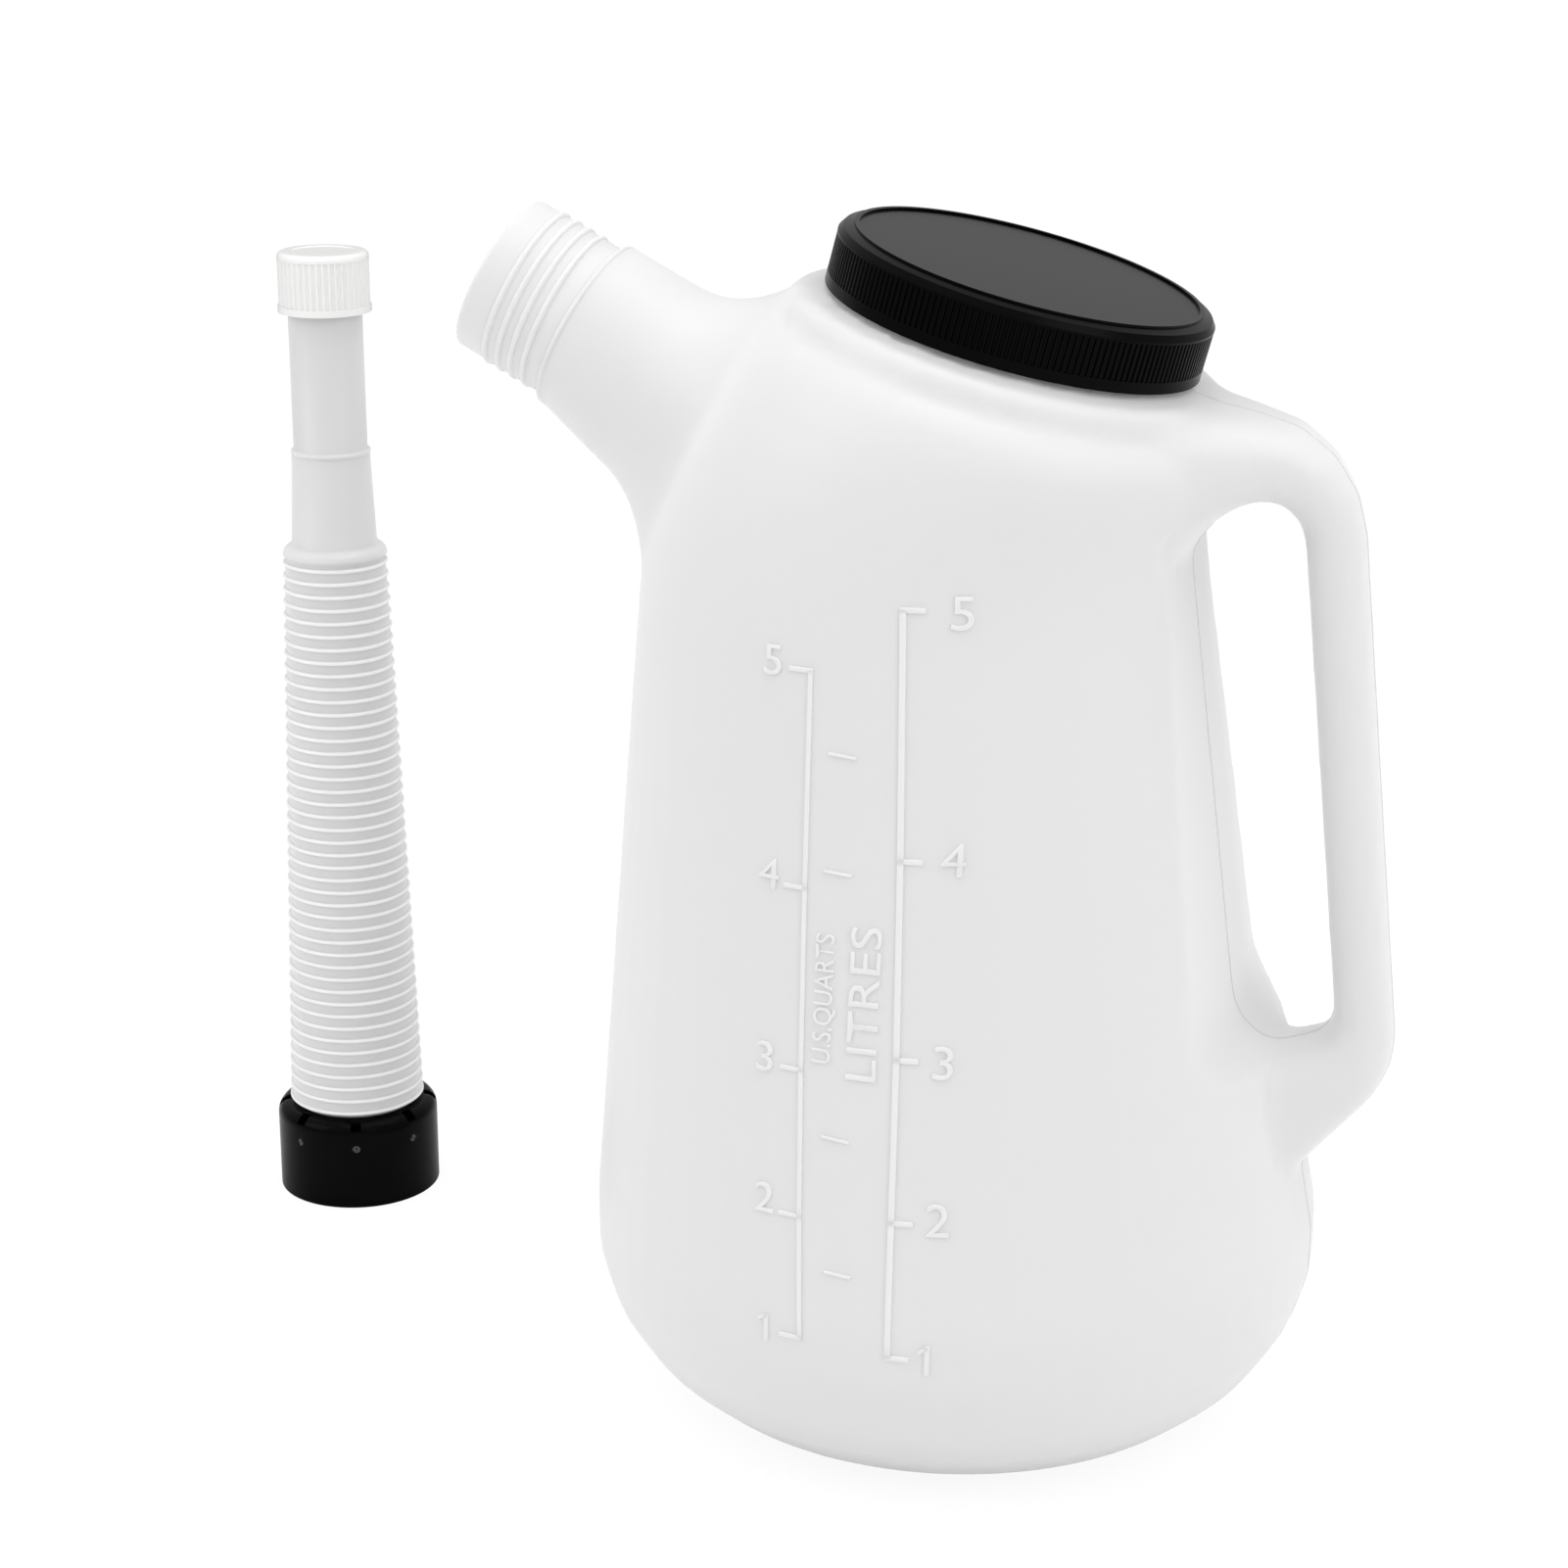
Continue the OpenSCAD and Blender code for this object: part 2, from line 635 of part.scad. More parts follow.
notch_h = 2.4;
dimple_d = 2.4;
dimple_depth = 1;
dimple_drop = 8;
module coupling_nut() {
    color("#161616") at_spout() difference() {
        rotate_extrude() polygon(concat(
            [
                [waist_r + nut_play, lip_under_z],
                [nut_bore_r, lip_under_z],
                [nut_bore_r, 0],
                [nut_r, 0]
            ],
            [for (a = [0 : 15 : 90]) [nut_r - nut_edge_r * (1 - cos(a)), nut_h - nut_edge_r * (1 - sin(a))]],
            [[waist_r + nut_play, nut_h]]
        ));
        for (i = [0 : nut_notches - 1]) rotate([0, 0, 360 * (i + 0.5) / nut_notches]) {
            translate([nut_r - nut_edge_r, -notch_w / 2, nut_h - notch_h])
                cube([nut_edge_r + overrun, notch_w, notch_h + overrun]);
            translate([nut_r - dimple_depth, 0, nut_h - dimple_drop])
                rotate([0, 90, 0]) cylinder(d = dimple_d, h = dimple_depth + overrun);
        }
    }
}

// Cap of the spout, over the nozzle's tip
cap_under_z = nozzle_top_z + cap_liner_t;
cap_top_z = cap_under_z + cap_top_t;
cap_z = cap_top_z - cap_h;
cap_bore_r = nozzle_tip_r + cap_clearance;
cap_r = cap_bore_r + cap_wall;
cap_core_r = cap_r - cap_rib_depth;
cap_bead_out = 0.3;
cap_bead_r = cap_r + cap_bead_out;
cap_edge_r = 1.6;
cap_line_h = 0.6;
cap_rib_top_z = cap_top_z - cap_edge_r - cap_line_h;
// Shallow recess in the cap's top, with a sloped edge
cap_rim_w = 4;
cap_recess_h = 0.3;
cap_recess_r = cap_r - cap_rim_w;
module spout_cap() {
    color("white") at_spout() {
        rotate_extrude() polygon(concat(
            [
                [0, cap_under_z],
                [cap_bore_r, cap_under_z],
                [cap_bore_r, cap_z],
                [cap_bead_r, cap_z],
                [cap_bead_r, cap_z + cap_bead_h],
                [cap_core_r, cap_z + cap_bead_h],
                [cap_core_r, cap_rib_top_z],
                [cap_r, cap_rib_top_z]
            ],
            [
                for (a = [0 : 15 : 90])
                    [cap_r - cap_edge_r * (1 - cos(a)), cap_top_z - cap_edge_r * (1 - sin(a))]
            ],
            [
                [cap_recess_r, cap_top_z],
                [cap_recess_r - cap_recess_h, cap_top_z - cap_recess_h],
                [0, cap_top_z - cap_recess_h]
            ]
        ));
        translate([0, 0, cap_z + cap_bead_h - bite])
            ribbed_ring(cap_core_r - rib_root, cap_r - rib_shy, cap_rib_depth, cap_ribs,
                        cap_rib_top_z - cap_z - cap_bead_h + 2 * bite);
    }
}
module cap_liner() {
    color("gainsboro") at_spout()
        translate([0, 0, nozzle_top_z]) cylinder(r = cap_bore_r - liner_room, h = cap_liner_t);
}

jug_body();
jug_lid();
lid_liner();
flexible_spout();
coupling_nut();
spout_cap();
cap_liner();
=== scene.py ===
import json
import math

import bpy
from mathutils import Matrix, Vector

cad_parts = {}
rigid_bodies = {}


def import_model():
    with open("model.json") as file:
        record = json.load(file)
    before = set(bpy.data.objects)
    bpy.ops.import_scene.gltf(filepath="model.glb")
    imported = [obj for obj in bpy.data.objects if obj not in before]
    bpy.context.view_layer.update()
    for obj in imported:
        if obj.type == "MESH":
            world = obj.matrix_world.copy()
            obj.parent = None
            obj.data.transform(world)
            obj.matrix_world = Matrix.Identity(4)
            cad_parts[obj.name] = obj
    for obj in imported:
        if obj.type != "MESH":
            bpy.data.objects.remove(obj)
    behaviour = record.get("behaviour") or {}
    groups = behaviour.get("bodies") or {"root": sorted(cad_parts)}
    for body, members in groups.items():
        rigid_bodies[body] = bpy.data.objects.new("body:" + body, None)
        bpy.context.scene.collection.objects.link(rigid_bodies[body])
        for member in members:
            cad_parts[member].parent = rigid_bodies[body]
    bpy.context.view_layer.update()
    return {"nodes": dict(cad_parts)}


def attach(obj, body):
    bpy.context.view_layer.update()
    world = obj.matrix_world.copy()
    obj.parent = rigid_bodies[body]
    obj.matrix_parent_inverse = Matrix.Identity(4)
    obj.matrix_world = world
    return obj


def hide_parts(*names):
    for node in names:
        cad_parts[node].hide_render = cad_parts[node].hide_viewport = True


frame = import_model()
NODES = frame["nodes"]
MM = 0.001
# Corners nearer than this are one corner: on a copied solid, along a profile, round a turned piece
MERGE_SOLID, MERGE_LINE, MERGE_TURNED = 0.00001, 0.000001, 0.000005

# Places shared with the construction, in millimetres and degrees
MOUTH = (10.6, 0.0, 290.5)
MOUTH_TILT = 14.6
NECK = (-104.0, 0.0, 287.3)
NECK_RISE = 28.0
NECK_R = 21.5
NECK_LEN = 26.0
TUBE_R = 23.5
SPOUT = (-210.0, 69.0)
WALL = 2.0


def in_frame(place, tilt):
    """Matrix of a frame at place, in mm, whose Z axis leans by tilt degrees towards +X."""
    return Matrix.Translation(Vector(place) * MM) @ Matrix.Rotation(math.radians(tilt), 4, "Y")


AT_MOUTH = in_frame(MOUTH, MOUTH_TILT)
AT_NECK = in_frame(NECK, NECK_RISE - 90)
AT_SPOUT = in_frame((SPOUT[0], SPOUT[1], 0), 0)


# Modelling helpers


def only(obj):
    bpy.ops.object.select_all(action="DESELECT")
    obj.select_set(True)
    bpy.context.view_layer.objects.active = obj


def edit(obj):
    """Opens obj for editing, with all of it selected."""
    only(obj)
    bpy.ops.object.mode_set(mode="EDIT")
    bpy.ops.mesh.select_mode(type="VERT")
    bpy.ops.mesh.select_all(action="SELECT")


def done():
    bpy.ops.object.mode_set(mode="OBJECT")


def modify(obj, kind, **settings):
    """Adds a modifier with these settings and applies it."""
    only(obj)
    mod = obj.modifiers.new(kind, kind)
    for key, value in settings.items():
        setattr(mod, key, value)
    bpy.ops.object.modifier_apply(modifier=mod.name)


def break_edges(obj, width, degrees):
    """Rounds the edges that are sharper than degrees, by width in mm."""
    limit = math.radians(degrees)
    modify(obj, "BEVEL", width=width * MM, segments=2, limit_method="ANGLE", angle_limit=limit)


def place(obj, matrix):
    """Moves obj by matrix and keeps the move in its vertices."""
    only(obj)
    obj.matrix_world = matrix
    bpy.ops.object.transform_apply(location=True, rotation=True, scale=True)


def smooth(obj, degrees=35):
    only(obj)
    bpy.ops.object.shade_smooth_by_angle(angle=math.radians(degrees))


def join(name, parts):
    bpy.ops.object.select_all(action="DESELECT")
    for part in parts:
        part.select_set(True)
    bpy.context.view_layer.objects.active = parts[0]
    bpy.ops.object.join()
    parts[0].name = name
    return parts[0]


def twin(obj, name):
    """A copy of obj with its own mesh."""
    copy = obj.copy()
    copy.data = obj.data.copy()
    copy.name = name
    bpy.context.scene.collection.objects.link(copy)
    return copy


def cad_copy(node, name):
    """A copy of a CAD node's mesh with its corners merged."""
    obj = bpy.data.objects.new(name, NODES[node].data.copy())
    bpy.context.scene.collection.objects.link(obj)
    obj.data.materials.clear()
    edit(obj)
    bpy.ops.mesh.remove_doubles(threshold=MERGE_SOLID)
    bpy.ops.mesh.customdata_custom_splitnormals_clear()
    done()
    return obj


def profile(name, points):
    """A line of vertices through points (radius, height), in mm."""
    bpy.ops.mesh.primitive_plane_add(size=MM)
    obj = bpy.context.object
    obj.name = name
    edit(obj)
    bpy.ops.mesh.merge(type="CENTER")
    r, z = points[0]
    bpy.ops.transform.translate(value=(r * MM, 0, z * MM))
    for r2, z2 in points[1:]:
        bpy.ops.mesh.extrude_vertices_move(
            TRANSFORM_OT_translate={"value": ((r2 - r) * MM, 0, (z2 - z) * MM)}
        )
        r, z = r2, z2
    return obj


def turned(name, points, matrix, steps=128):
    """A solid of revolution from a closed profile in mm, set into the frame given by matrix."""
    obj = profile(name, points + points[:1])
    bpy.ops.mesh.select_all(action="SELECT")
    bpy.ops.mesh.remove_doubles(threshold=MERGE_LINE)
    bpy.ops.mesh.select_all(action="SELECT")
    bpy.ops.mesh.spin(steps=steps, angle=2 * math.pi, center=(0, 0, 0), axis=(0, 0, 1))
    bpy.ops.mesh.select_all(action="SELECT")
    bpy.ops.mesh.remove_doubles(threshold=MERGE_TURNED)
    bpy.ops.mesh.normals_make_consistent(inside=False)
    done()
    place(obj, matrix)
    return obj


def arc(cx, cz, r, start, end, steps):
    """Points of an arc about (cx, cz), from start to end degrees."""
    turns = [math.radians(start + (end - start) * i / steps) for i in range(steps + 1)]
    return [(cx + r * math.cos(a), cz + r * math.sin(a)) for a in turns]


def bisect(obj, point, normal, extend=0.0):
    """Cuts off what lies on the normal's side of a plane; draws the cut edges out by extend, in mm."""
    edit(obj)
    bpy.ops.mesh.bisect(plane_co=point, plane_no=normal, clear_outer=True, use_fill=False)
    if extend:
        bpy.ops.mesh.extrude_edges_move(TRANSFORM_OT_translate={"value": normal * extend * MM})
    done()


# Materials


def linear(hex_colour):
    """Linear colour of an sRGB hex code."""
    parts = [int(hex_colour[i : i + 2], 16) / 255 for i in (1, 3, 5)]
    return [c / 12.92 if c <= 0.04045 else ((c + 0.055) / 1.055) ** 2.4 for c in parts] + [1.0]


def add(mat, kind, *values, **settings):
    """A new node. Values fill its first sockets and settings go by name; a socket as value is linked."""
    node = mat.node_tree.nodes.new(kind)
    filled = list(zip(node.inputs, values))
    for key, value in settings.items():
        if hasattr(node, key):
            setattr(node, key, value)
        else:
            filled.append((node.inputs[key.replace("_", " ")], value))
    for socket, value in filled:
        if isinstance(value, bpy.types.NodeSocket):
            mat.node_tree.links.new(value, socket)
        else:
            socket.default_value = value
    return node


def plastic(name, colour, roughness, specular=0.5, subsurface=0.0, sheen=0.0):
    mat = bpy.data.materials.new(name)
    mat.use_nodes = True
    shader = mat.node_tree.nodes["Principled BSDF"]
    shader.inputs["Base Color"].default_value = linear(colour)
    shader.inputs["Roughness"].default_value = roughness
    shader.inputs["IOR"].default_value = 1.5
    shader.inputs["Specular IOR Level"].default_value = specular
    shader.inputs["Subsurface Weight"].default_value = subsurface
    shader.inputs["Subsurface Radius"].default_value = (0.004, 0.004, 0.004)
    shader.inputs["Subsurface Scale"].default_value = 1.0
    shader.inputs["Sheen Weight"].default_value = sheen
    return mat, shader


def grain(mat, shader, size_mm, height_mm, strength):
    """A moulded grain with bumps of this size and height, coarser than the real one so that it shows."""
    spot = add(mat, "ShaderNodeTexCoord").outputs["Object"]
    noise = add(mat, "ShaderNodeTexNoise", Vector=spot, Scale=1000 / size_mm, Detail=2.0)
    rise = noise.outputs["Fac"]
    bump = add(mat, "ShaderNodeBump", Height=rise, Distance=height_mm * MM, Strength=strength)
    mat.node_tree.links.new(bump.outputs["Normal"], shader.inputs["Normal"])


# Natural polyethylene lets light into its wall: soft grey to the eye, with a pale sheen at its outline
NATURAL_HDPE, hdpe = plastic("natural HDPE", "#DFDFDF", 0.42, specular=0.4, subsurface=0.25, sheen=0.8)
grain(NATURAL_HDPE, hdpe, size_mm=1.2, height_mm=0.05, strength=0.25)
# Where the same plastic is thicker, as in the raised scale and the threads, it is whiter; part of this
# lighter colour is a painted highlight, standing in for the light that the raised marks catch
THICK_HDPE_AND_HIGHLIGHT, _ = plastic("natural HDPE in thick places", "#EEEEEE", 0.42, specular=0.4, subsurface=0.25)
# Black polypropylene is nearly black, with a satin skin that greys where it mirrors the light
BLACK_PP, pp = plastic("black polypropylene", "#020202", 0.25, specular=0.05)
grain(BLACK_PP, pp, size_mm=0.6, height_mm=0.03, strength=0.3)
# The nut's dimples come from polished pins, so they shine
SHINY_PP, _ = plastic("polished black polypropylene", "#0A0A0A", 0.25, specular=0.9)
# The soft spout is milky grey, with white lines at its rings: partly where the rings thicken the wall,
# partly a painted highlight along the ring crests
NATURAL_LDPE, ldpe = plastic("natural LDPE", "#DADADA", 0.35, subsurface=0.25, sheen=0.8)
# White polypropylene has a clear skin, which greys it where the eye looks along the surface
WHITE_PP, white = plastic("white polypropylene", "#FBFBFA", 0.4, specular=0.4, subsurface=0.15)
white.inputs["Coat Weight"].default_value = 1.0
white.inputs["Coat IOR"].default_value = 1.01
white.inputs["Coat Tint"].default_value = linear("#F8F8F8")
# The liners are foamed polyethylene, matt and off-white
FOAM, _ = plastic("liner foam", "#E6E6E4", 0.8)


def ready(obj, material, body, *nodes, slot=None):
    """Gives a finished piece its material, the body it moves with and the CAD nodes it stands for."""
    obj.data.materials.clear()
    obj.data.materials.append(material)
    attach(obj, body)
    if nodes:
        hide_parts(*nodes)


# Jug: the outside of the solid, remeshed and softened so that tube, handle and seat flow into the
# wall as blown plastic does, then given its wall again

SHELL_VOXEL = 2.45
# Passes of smoothing for the whole shell and for the fold
SHELL_PASSES, FOLD_PASSES = 7, 18
# Heights of the first cuts on neck and mouth; the tube is drawn out past its cut to keep its width
TUBE_CUT, TUBE_DRAWN_OUT, MOUTH_CUT = -3.2, 12, 8
jug = cad_copy("jug_body", "jug_shell")
neck_axis = AT_NECK.to_3x3() @ Vector((0, 0, 1))
mouth_axis = AT_MOUTH.to_3x3() @ Vector((0, 0, 1))
bisect(jug, AT_NECK @ Vector((0, 0, TUBE_CUT * MM)), neck_axis, TUBE_DRAWN_OUT)
bisect(jug, AT_MOUTH @ Vector((0, 0, MOUTH_CUT * MM)), mouth_axis)
# The two cuts part the outside from the inside; the lowest corner belongs to the outside
edit(jug)
bpy.ops.mesh.select_all(action="DESELECT")
done()
min(jug.data.vertices, key=lambda v: v.co.z).select = True
bpy.ops.object.mode_set(mode="EDIT")
bpy.ops.mesh.select_linked()
bpy.ops.mesh.select_all(action="INVERT")
bpy.ops.mesh.delete(type="VERT")
bpy.ops.mesh.select_all(action="SELECT")
bpy.ops.mesh.fill_holes(sides=0)
done()
jug.data.remesh_voxel_size = SHELL_VOXEL * MM
only(jug)
bpy.ops.object.voxel_remesh()
modify(jug, "SMOOTH", factor=0.5, iterations=SHELL_PASSES)
# Where the tube leaves the shoulder the fold is softer still
FOLD_X, FOLD_Z = (-92, -40), 200
fold = jug.vertex_groups.new(name="fold")
in_fold = [
    v.index for v in jug.data.vertices if FOLD_X[0] < v.co.x / MM < FOLD_X[1] and v.co.z / MM > FOLD_Z
]
fold.add(in_fold, 1.0, "REPLACE")
modify(jug, "SMOOTH", factor=0.5, iterations=FOLD_PASSES, vertex_group=fold.name)
# Heights at which the shell ends and the turned neck and mouth begin
NECK_SEAM = -1.5
MOUTH_SEAM = 1.5
bisect(jug, AT_NECK @ Vector((0, 0, NECK_SEAM * MM)), neck_axis)
bisect(jug, AT_MOUTH @ Vector((0, 0, MOUTH_SEAM * MM)), mouth_axis)


def true_ring(obj, matrix, height, radius, reach):
    """Widens the open end of obj at height in the given frame to radius, easing off within reach, in mm."""
    place(obj, matrix.inverted())
    edit(obj)
    bpy.ops.mesh.select_all(action="DESELECT")
    done()
    ring = [v for v in obj.data.vertices if abs(v.co.z - height * MM) < 0.02 * MM]
    mean = sum(math.hypot(v.co.x, v.co.y) for v in ring) / len(ring)
    for vertex in ring:
        vertex.select = True
    factor = radius * MM / mean
    bpy.ops.object.mode_set(mode="EDIT")
    bpy.ops.transform.resize(
        value=(factor, factor, 1),
        center_override=(0, 0, 0),
        use_proportional_edit=True,
        proportional_edit_falloff="SMOOTH",
        proportional_size=reach * MM,
        use_proportional_connected=True,
    )
    done()
    place(obj, matrix)


true_ring(jug, AT_NECK, NECK_SEAM, TUBE_R, reach=16)

# Parting line of the mould: a fine raised seam on the handle's side of the jug's middle plane
SEAM_FROM, SEAM_R = 50, 0.22
seam = twin(jug, "parting_line")
edit(seam)
bpy.ops.mesh.bisect(plane_co=(0, 0, 0), plane_no=(0, 1, 0))
bpy.ops.mesh.select_all(action="INVERT")
bpy.ops.mesh.delete(type="VERT")
done()
bisect(seam, (SEAM_FROM * MM, 0, 0), Vector((-1, 0, 0)))
only(seam)
bpy.ops.object.convert(target="CURVE")
seam.data.bevel_depth = SEAM_R * MM
seam.data.bevel_resolution = 1
bpy.ops.object.convert(target="MESH")
smooth(seam, 80)

modify(jug, "SOLIDIFY", thickness=WALL * MM, offset=-1.0)
smooth(jug, 60)

# Half widths of a thread at its foot and crest, in pitches; how deep it sinks and its run-out, in mm
THREAD_BASE, THREAD_TOP, THREAD_SINK, THREAD_RUN_OUT = 0.3, 0.08, 0.3, 9


def thread(name, matrix, root, crest, start, pitch, turns, steps=72):
    """A raised helix on a neck: root and crest radius, height of its first turn, in mm."""
    base, top = THREAD_BASE * pitch, THREAD_TOP * pitch
    inner = root - THREAD_SINK
    line = [(inner, start - base), (crest, start - top), (crest, start + top), (inner, start + base)]
    obj = profile(name, line + line[:1])
    bpy.ops.mesh.select_all(action="SELECT")
    bpy.ops.mesh.remove_doubles(threshold=MERGE_LINE)
    done()
    modify(
        obj,
        "SCREW",
        screw_offset=pitch * MM,
        iterations=turns,
        steps=steps,
        render_steps=steps,
        use_normal_calculate=True,
    )
    edit(obj)
    bpy.ops.mesh.normals_make_consistent(inside=False)
    bpy.ops.mesh.select_all(action="DESELECT")
    bpy.ops.mesh.select_non_manifold()
    # Both ends sink into the neck, as a moulded thread runs out
    bpy.ops.transform.translate(
        value=((root - crest - THREAD_SINK) * MM, 0, 0),
        use_proportional_edit=True,
        proportional_edit_falloff="SMOOTH",
        proportional_size=THREAD_RUN_OUT * MM,
        use_proportional_connected=True,
    )
    done()
    break_edges(obj, 0.35, 25)
    place(obj, matrix)
    smooth(obj, 50)
    return obj


# Rounding of the tube's end and of the neck's lip, and the small fillet at the neck's root
TUBE_EDGE, LIP_R, LIP_Z = 1.4, 1.0, 1.8
FILLET_R, FILLET_Z = 0.2, 0.3
neck = turned(
    "jug_neck",
    [(TUBE_R - WALL, NECK_SEAM), (TUBE_R, NECK_SEAM)]
    + arc(TUBE_R - TUBE_EDGE, -TUBE_EDGE, TUBE_EDGE, 0, 90, 7)
    + [(NECK_R + FILLET_R, 0), (NECK_R, FILLET_Z), (NECK_R, NECK_LEN - LIP_Z)]
    + arc(NECK_R - LIP_R, NECK_LEN - LIP_R, LIP_R, 0, 180, 10)
    + [(NECK_R - WALL, -1.0)],
    AT_NECK,
)
smooth(neck, 50)
FAR_SIDE = Matrix.Rotation(math.radians(90), 4, "Z")
neck_thread = thread("neck_thread", AT_NECK @ FAR_SIDE, NECK_R, crest=22.15, start=3.6, pitch=3.9, turns=4)
MOUTH_R, MOUTH_LEN, MOUTH_EDGE = 45.5, 14.2, 0.5
mouth = turned(
    "mouth_neck",
    [(MOUTH_R - WALL, 0), (MOUTH_R, 0), (MOUTH_R, MOUTH_LEN - MOUTH_EDGE)]
    + [(MOUTH_R - MOUTH_EDGE, MOUTH_LEN), (MOUTH_R - WALL, MOUTH_LEN)],
    AT_MOUTH,
)
smooth(mouth, 50)
mouth_thread = thread(
    "mouth_thread", AT_MOUTH, MOUTH_R, crest=46.15, start=4.2, pitch=3.6, turns=2, steps=112
)


# Scale: raised lines, ticks, figures and unit words, laid on the wall and raised from it

# Thickness of a mark, half of it in the wall, and its broken edge
MARK_T, MARK_EDGE = 1.0, 0.2


def lay(obj):
    """Projects a flat piece from the front onto the jug's wall and raises it."""
    modify(
        obj,
        "SHRINKWRAP",
        target=jug,
        wrap_method="PROJECT",
        use_project_y=True,
        use_positive_direction=True,
        use_negative_direction=False,
    )
    modify(obj, "SOLIDIFY", thickness=MARK_T * MM, offset=0.0)
    break_edges(obj, MARK_EDGE, 50)
    smooth(obj, 40)
    return obj


# Where flat marks start in front of the wall, in metres, and a capital's share of the type size
FRONT, CAPITAL = -0.13, 0.73
FACING = Matrix.Rotation(math.radians(90), 4, "X")
UPWARDS = Matrix.Rotation(math.radians(-90), 4, "Y")


def strip(start, end, width):
    """A raised line on the wall between two points (x, z), in mm."""
    run = Vector((end[0] - start[0], end[1] - start[1]))
    cuts = max(1, int(run.length / 4))
    bpy.ops.mesh.primitive_grid_add(x_subdivisions=cuts, y_subdivisions=1, size=1)
    obj = bpy.context.object
    obj.name = "scale_line"
    turn = Matrix.Rotation(-math.atan2(run.y, run.x), 4, "Y")
    middle = Vector(((start[0] + end[0]) / 2 * MM, FRONT, (start[1] + end[1]) / 2 * MM))
    size = Matrix.Diagonal((run.length * MM, width * MM, 1, 1))
    place(obj, Matrix.Translation(middle) @ turn @ FACING @ size)
    return lay(obj)


def figure(text, x, z, height, upwards=False, stretch=1.0):
    """A raised figure or word on the wall, centred on (x, z); height of a capital, in mm."""
    bpy.ops.object.text_add()
    obj = bpy.context.object
    obj.name = "scale_text"
    obj.data.body = text
    obj.data.align_x = "CENTER"
    obj.data.align_y = "CENTER"
    obj.data.size = height / CAPITAL * MM
    obj.data.resolution_u = 4
    bpy.ops.object.convert(target="MESH")
    spin = UPWARDS @ FACING if upwards else FACING
    size = Matrix.Diagonal((stretch, 1, 1, 1))
    place(obj, Matrix.Translation((x * MM, FRONT, z * MM)) @ spin @ size)
    edit(obj)
    bpy.ops.mesh.remove_doubles(threshold=MERGE_SOLID)
    done()
    return lay(obj)


# Places of the marks one to five on the wall (x, z) and of their figures
LITRES = [(7.6, 51.8), (7.1, 86.4), (6.4, 127.1), (5.0, 175.8), (2.7, 236.1)]
QUARTS = [(-15.3, 53.4), (-16.6, 84.7), (-17.7, 121.7), (-18.6, 167.0), (-19.3, 220.0)]
LITRE_FIGURES = [(17.3, 51.4), (18.3, 87.2), (17.7, 126.4), (17.6, 175.9), (16.6, 235.0)]
QUART_FIGURES = [(-24.6, 53.7), (-26.3, 87.2), (-27.5, 122.9), (-28.2, 168.8), (-29.3, 221.0)]
HALF_MARKS = [(-10.4, 200.3), (-10.3, 171.7), (-7.9, 105.7), (-5.9, 71.6)]
# Each scale: its line and the line's width, how far its ticks reach to either side, and their width
SCALES = [(LITRES, 1.6, (-0.8, 5.4), 1.4), (QUARTS, 1.2, (0.6, -5.7), 1.2)]
# Half length, slope and width of a half mark; ends and width of the flag on a figure one
HALF_LEN, HALF_SLOPE, HALF_WIDTH = 3.6, 0.3, 0.8
FLAG_FOOT, FLAG_TOP, FLAG_WIDTH = (-2.4, 2.3), (0.2, 3.9), 0.9
marks = []
for line, width, tick, tick_width in SCALES:
    marks += [strip(a, b, width) for a, b in zip(line, line[1:])]
    marks += [strip((x + tick[0], z), (x + tick[1], z), tick_width) for x, z in line]
for x, z in HALF_MARKS:
    marks.append(strip((x - HALF_LEN, z + HALF_SLOPE), (x + HALF_LEN, z - HALF_SLOPE), HALF_WIDTH))
for i in range(5):
    marks.append(figure(str(i + 1), *LITRE_FIGURES[i], height=8.6, stretch=1.12))
    marks.append(figure(str(i + 1), *QUART_FIGURES[i], height=7.8, stretch=1.1))
for x, z in (LITRE_FIGURES[0], QUART_FIGURES[0]):
    foot = (x + FLAG_FOOT[0], z + FLAG_FOOT[1])
    marks.append(strip(foot, (x + FLAG_TOP[0], z + FLAG_TOP[1]), FLAG_WIDTH))
marks.append(figure("LITRES", -1.8, 140.0, height=8.0, upwards=True, stretch=1.24))
marks.append(figure("U.S.QUARTS", -12.3, 140.4, height=5.0, upwards=True, stretch=0.87))
scale = join("scale_marks", marks)

for piece in (neck, mouth, seam):
    ready(piece, NATURAL_HDPE, "jug", slot="natural_hdpe")
# The threads and the scale marks take the lighter colour, which is partly a painted highlight on the raised
# edges
for piece in (neck_thread, mouth_thread, scale):
    ready(piece, THICK_HDPE_AND_HIGHLIGHT, "jug", slot="natural_hdpe")
ready(jug, NATURAL_HDPE, "jug", "jug_body", slot="natural_hdpe")

# Flexible spout: flange, bellows with fine raised rings and a stepped nozzle, all one thin wall

FLANGE_R, FLANGE_Z, FLANGE_T = 22.3, 21.8, 2.4
WAIST_R = 18.1
BELLOWS_Z, BELLOWS_LEN, RINGS = 27.8, 174.0, 44
BELLOWS_R = (20.7, 15.5)
HEAD_ROUND = 2.9
NOZZLE_Z, NOZZLE_TOP, NOZZLE_EASE = 204.7, 288.7, 0.6
NOZZLE_FOOT_R, NOZZLE_MID_R, NOZZLE_TIP_R = 12.6, 11.5, 10.8
BEAD_Z, BEAD_OUT, BEAD_R, BEAD_FOOT = 232.7, 0.3, 0.7, 1.0
SPOUT_WALL = 1.2
PITCH = BELLOWS_LEN / RINGS
# One ring and the band above it: height from the ring's middle and how far it stands out, in mm
RING_SHAPE = [(-0.75, 0.0), (-0.45, 0.5), (-0.15, 0.8), (0.15, 0.8), (0.45, 0.5), (0.75, 0.0), (1.9, 0.14)]
RING_OUT = 0.8
# Place of the first ring and half the width of its white line (partly painted highlight), in pitches
FIRST_RING, LINE_SHARE = 0.4, 0.13


